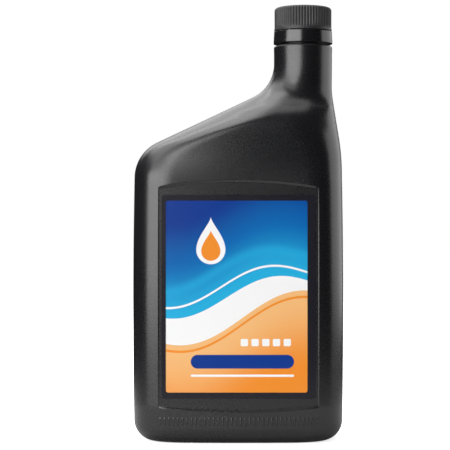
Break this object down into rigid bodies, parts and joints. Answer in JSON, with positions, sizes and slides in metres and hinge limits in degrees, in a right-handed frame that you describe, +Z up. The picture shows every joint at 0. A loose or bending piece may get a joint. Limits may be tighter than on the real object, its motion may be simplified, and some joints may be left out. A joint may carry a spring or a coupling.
{
  "type": "motor oil bottle",
  "caption": "Flat blown quart bottle with an offset neck, a sloping shoulder, a ribbed screw cap and a front label.",
  "frame": {"origin": "centre of the footprint, on the surface that the bottle stands on", "axes": "+Z up, -Y the printed front, +X the side that the neck is on"},
  "size_m": [0.113, 0.0588, 0.232],
  "materials": {
    "body_plastic": "satin moulded plastic",
    "cap_plastic": "fine matt moulded plastic",
    "label_paper": "coated printed film",
    "liner_foam": "smooth closed foam",
    "oil": "clear amber liquid"
  },
  "bodies": {
    "bottle_body": {"bottle": "body_plastic", "front_label": "label_paper", "motor_oil": "oil", "tamper_band": "cap_plastic"},
    "liner_body": {"cap_liner": "liner_foam"},
    "cap_body": {"cap": "cap_plastic"}
  },
  "joints": [
    {"name": "cap_lift", "type": "slide", "parent": "bottle_body", "child": "liner_body", "axis": [0, 0, 1], "range_m": [0, 0.0211]},
    {"name": "cap_turn", "type": "hinge", "parent": "liner_body", "child": "cap_body", "pos_m": [0.035, 0, 0.2256], "axis": [0, 0, 1], "range_deg": [0, 1800]}
  ],
  "couplings": [
    {"joint": "cap_lift", "follows": "cap_turn", "m_per_rad": 0.00066845}
  ]
}
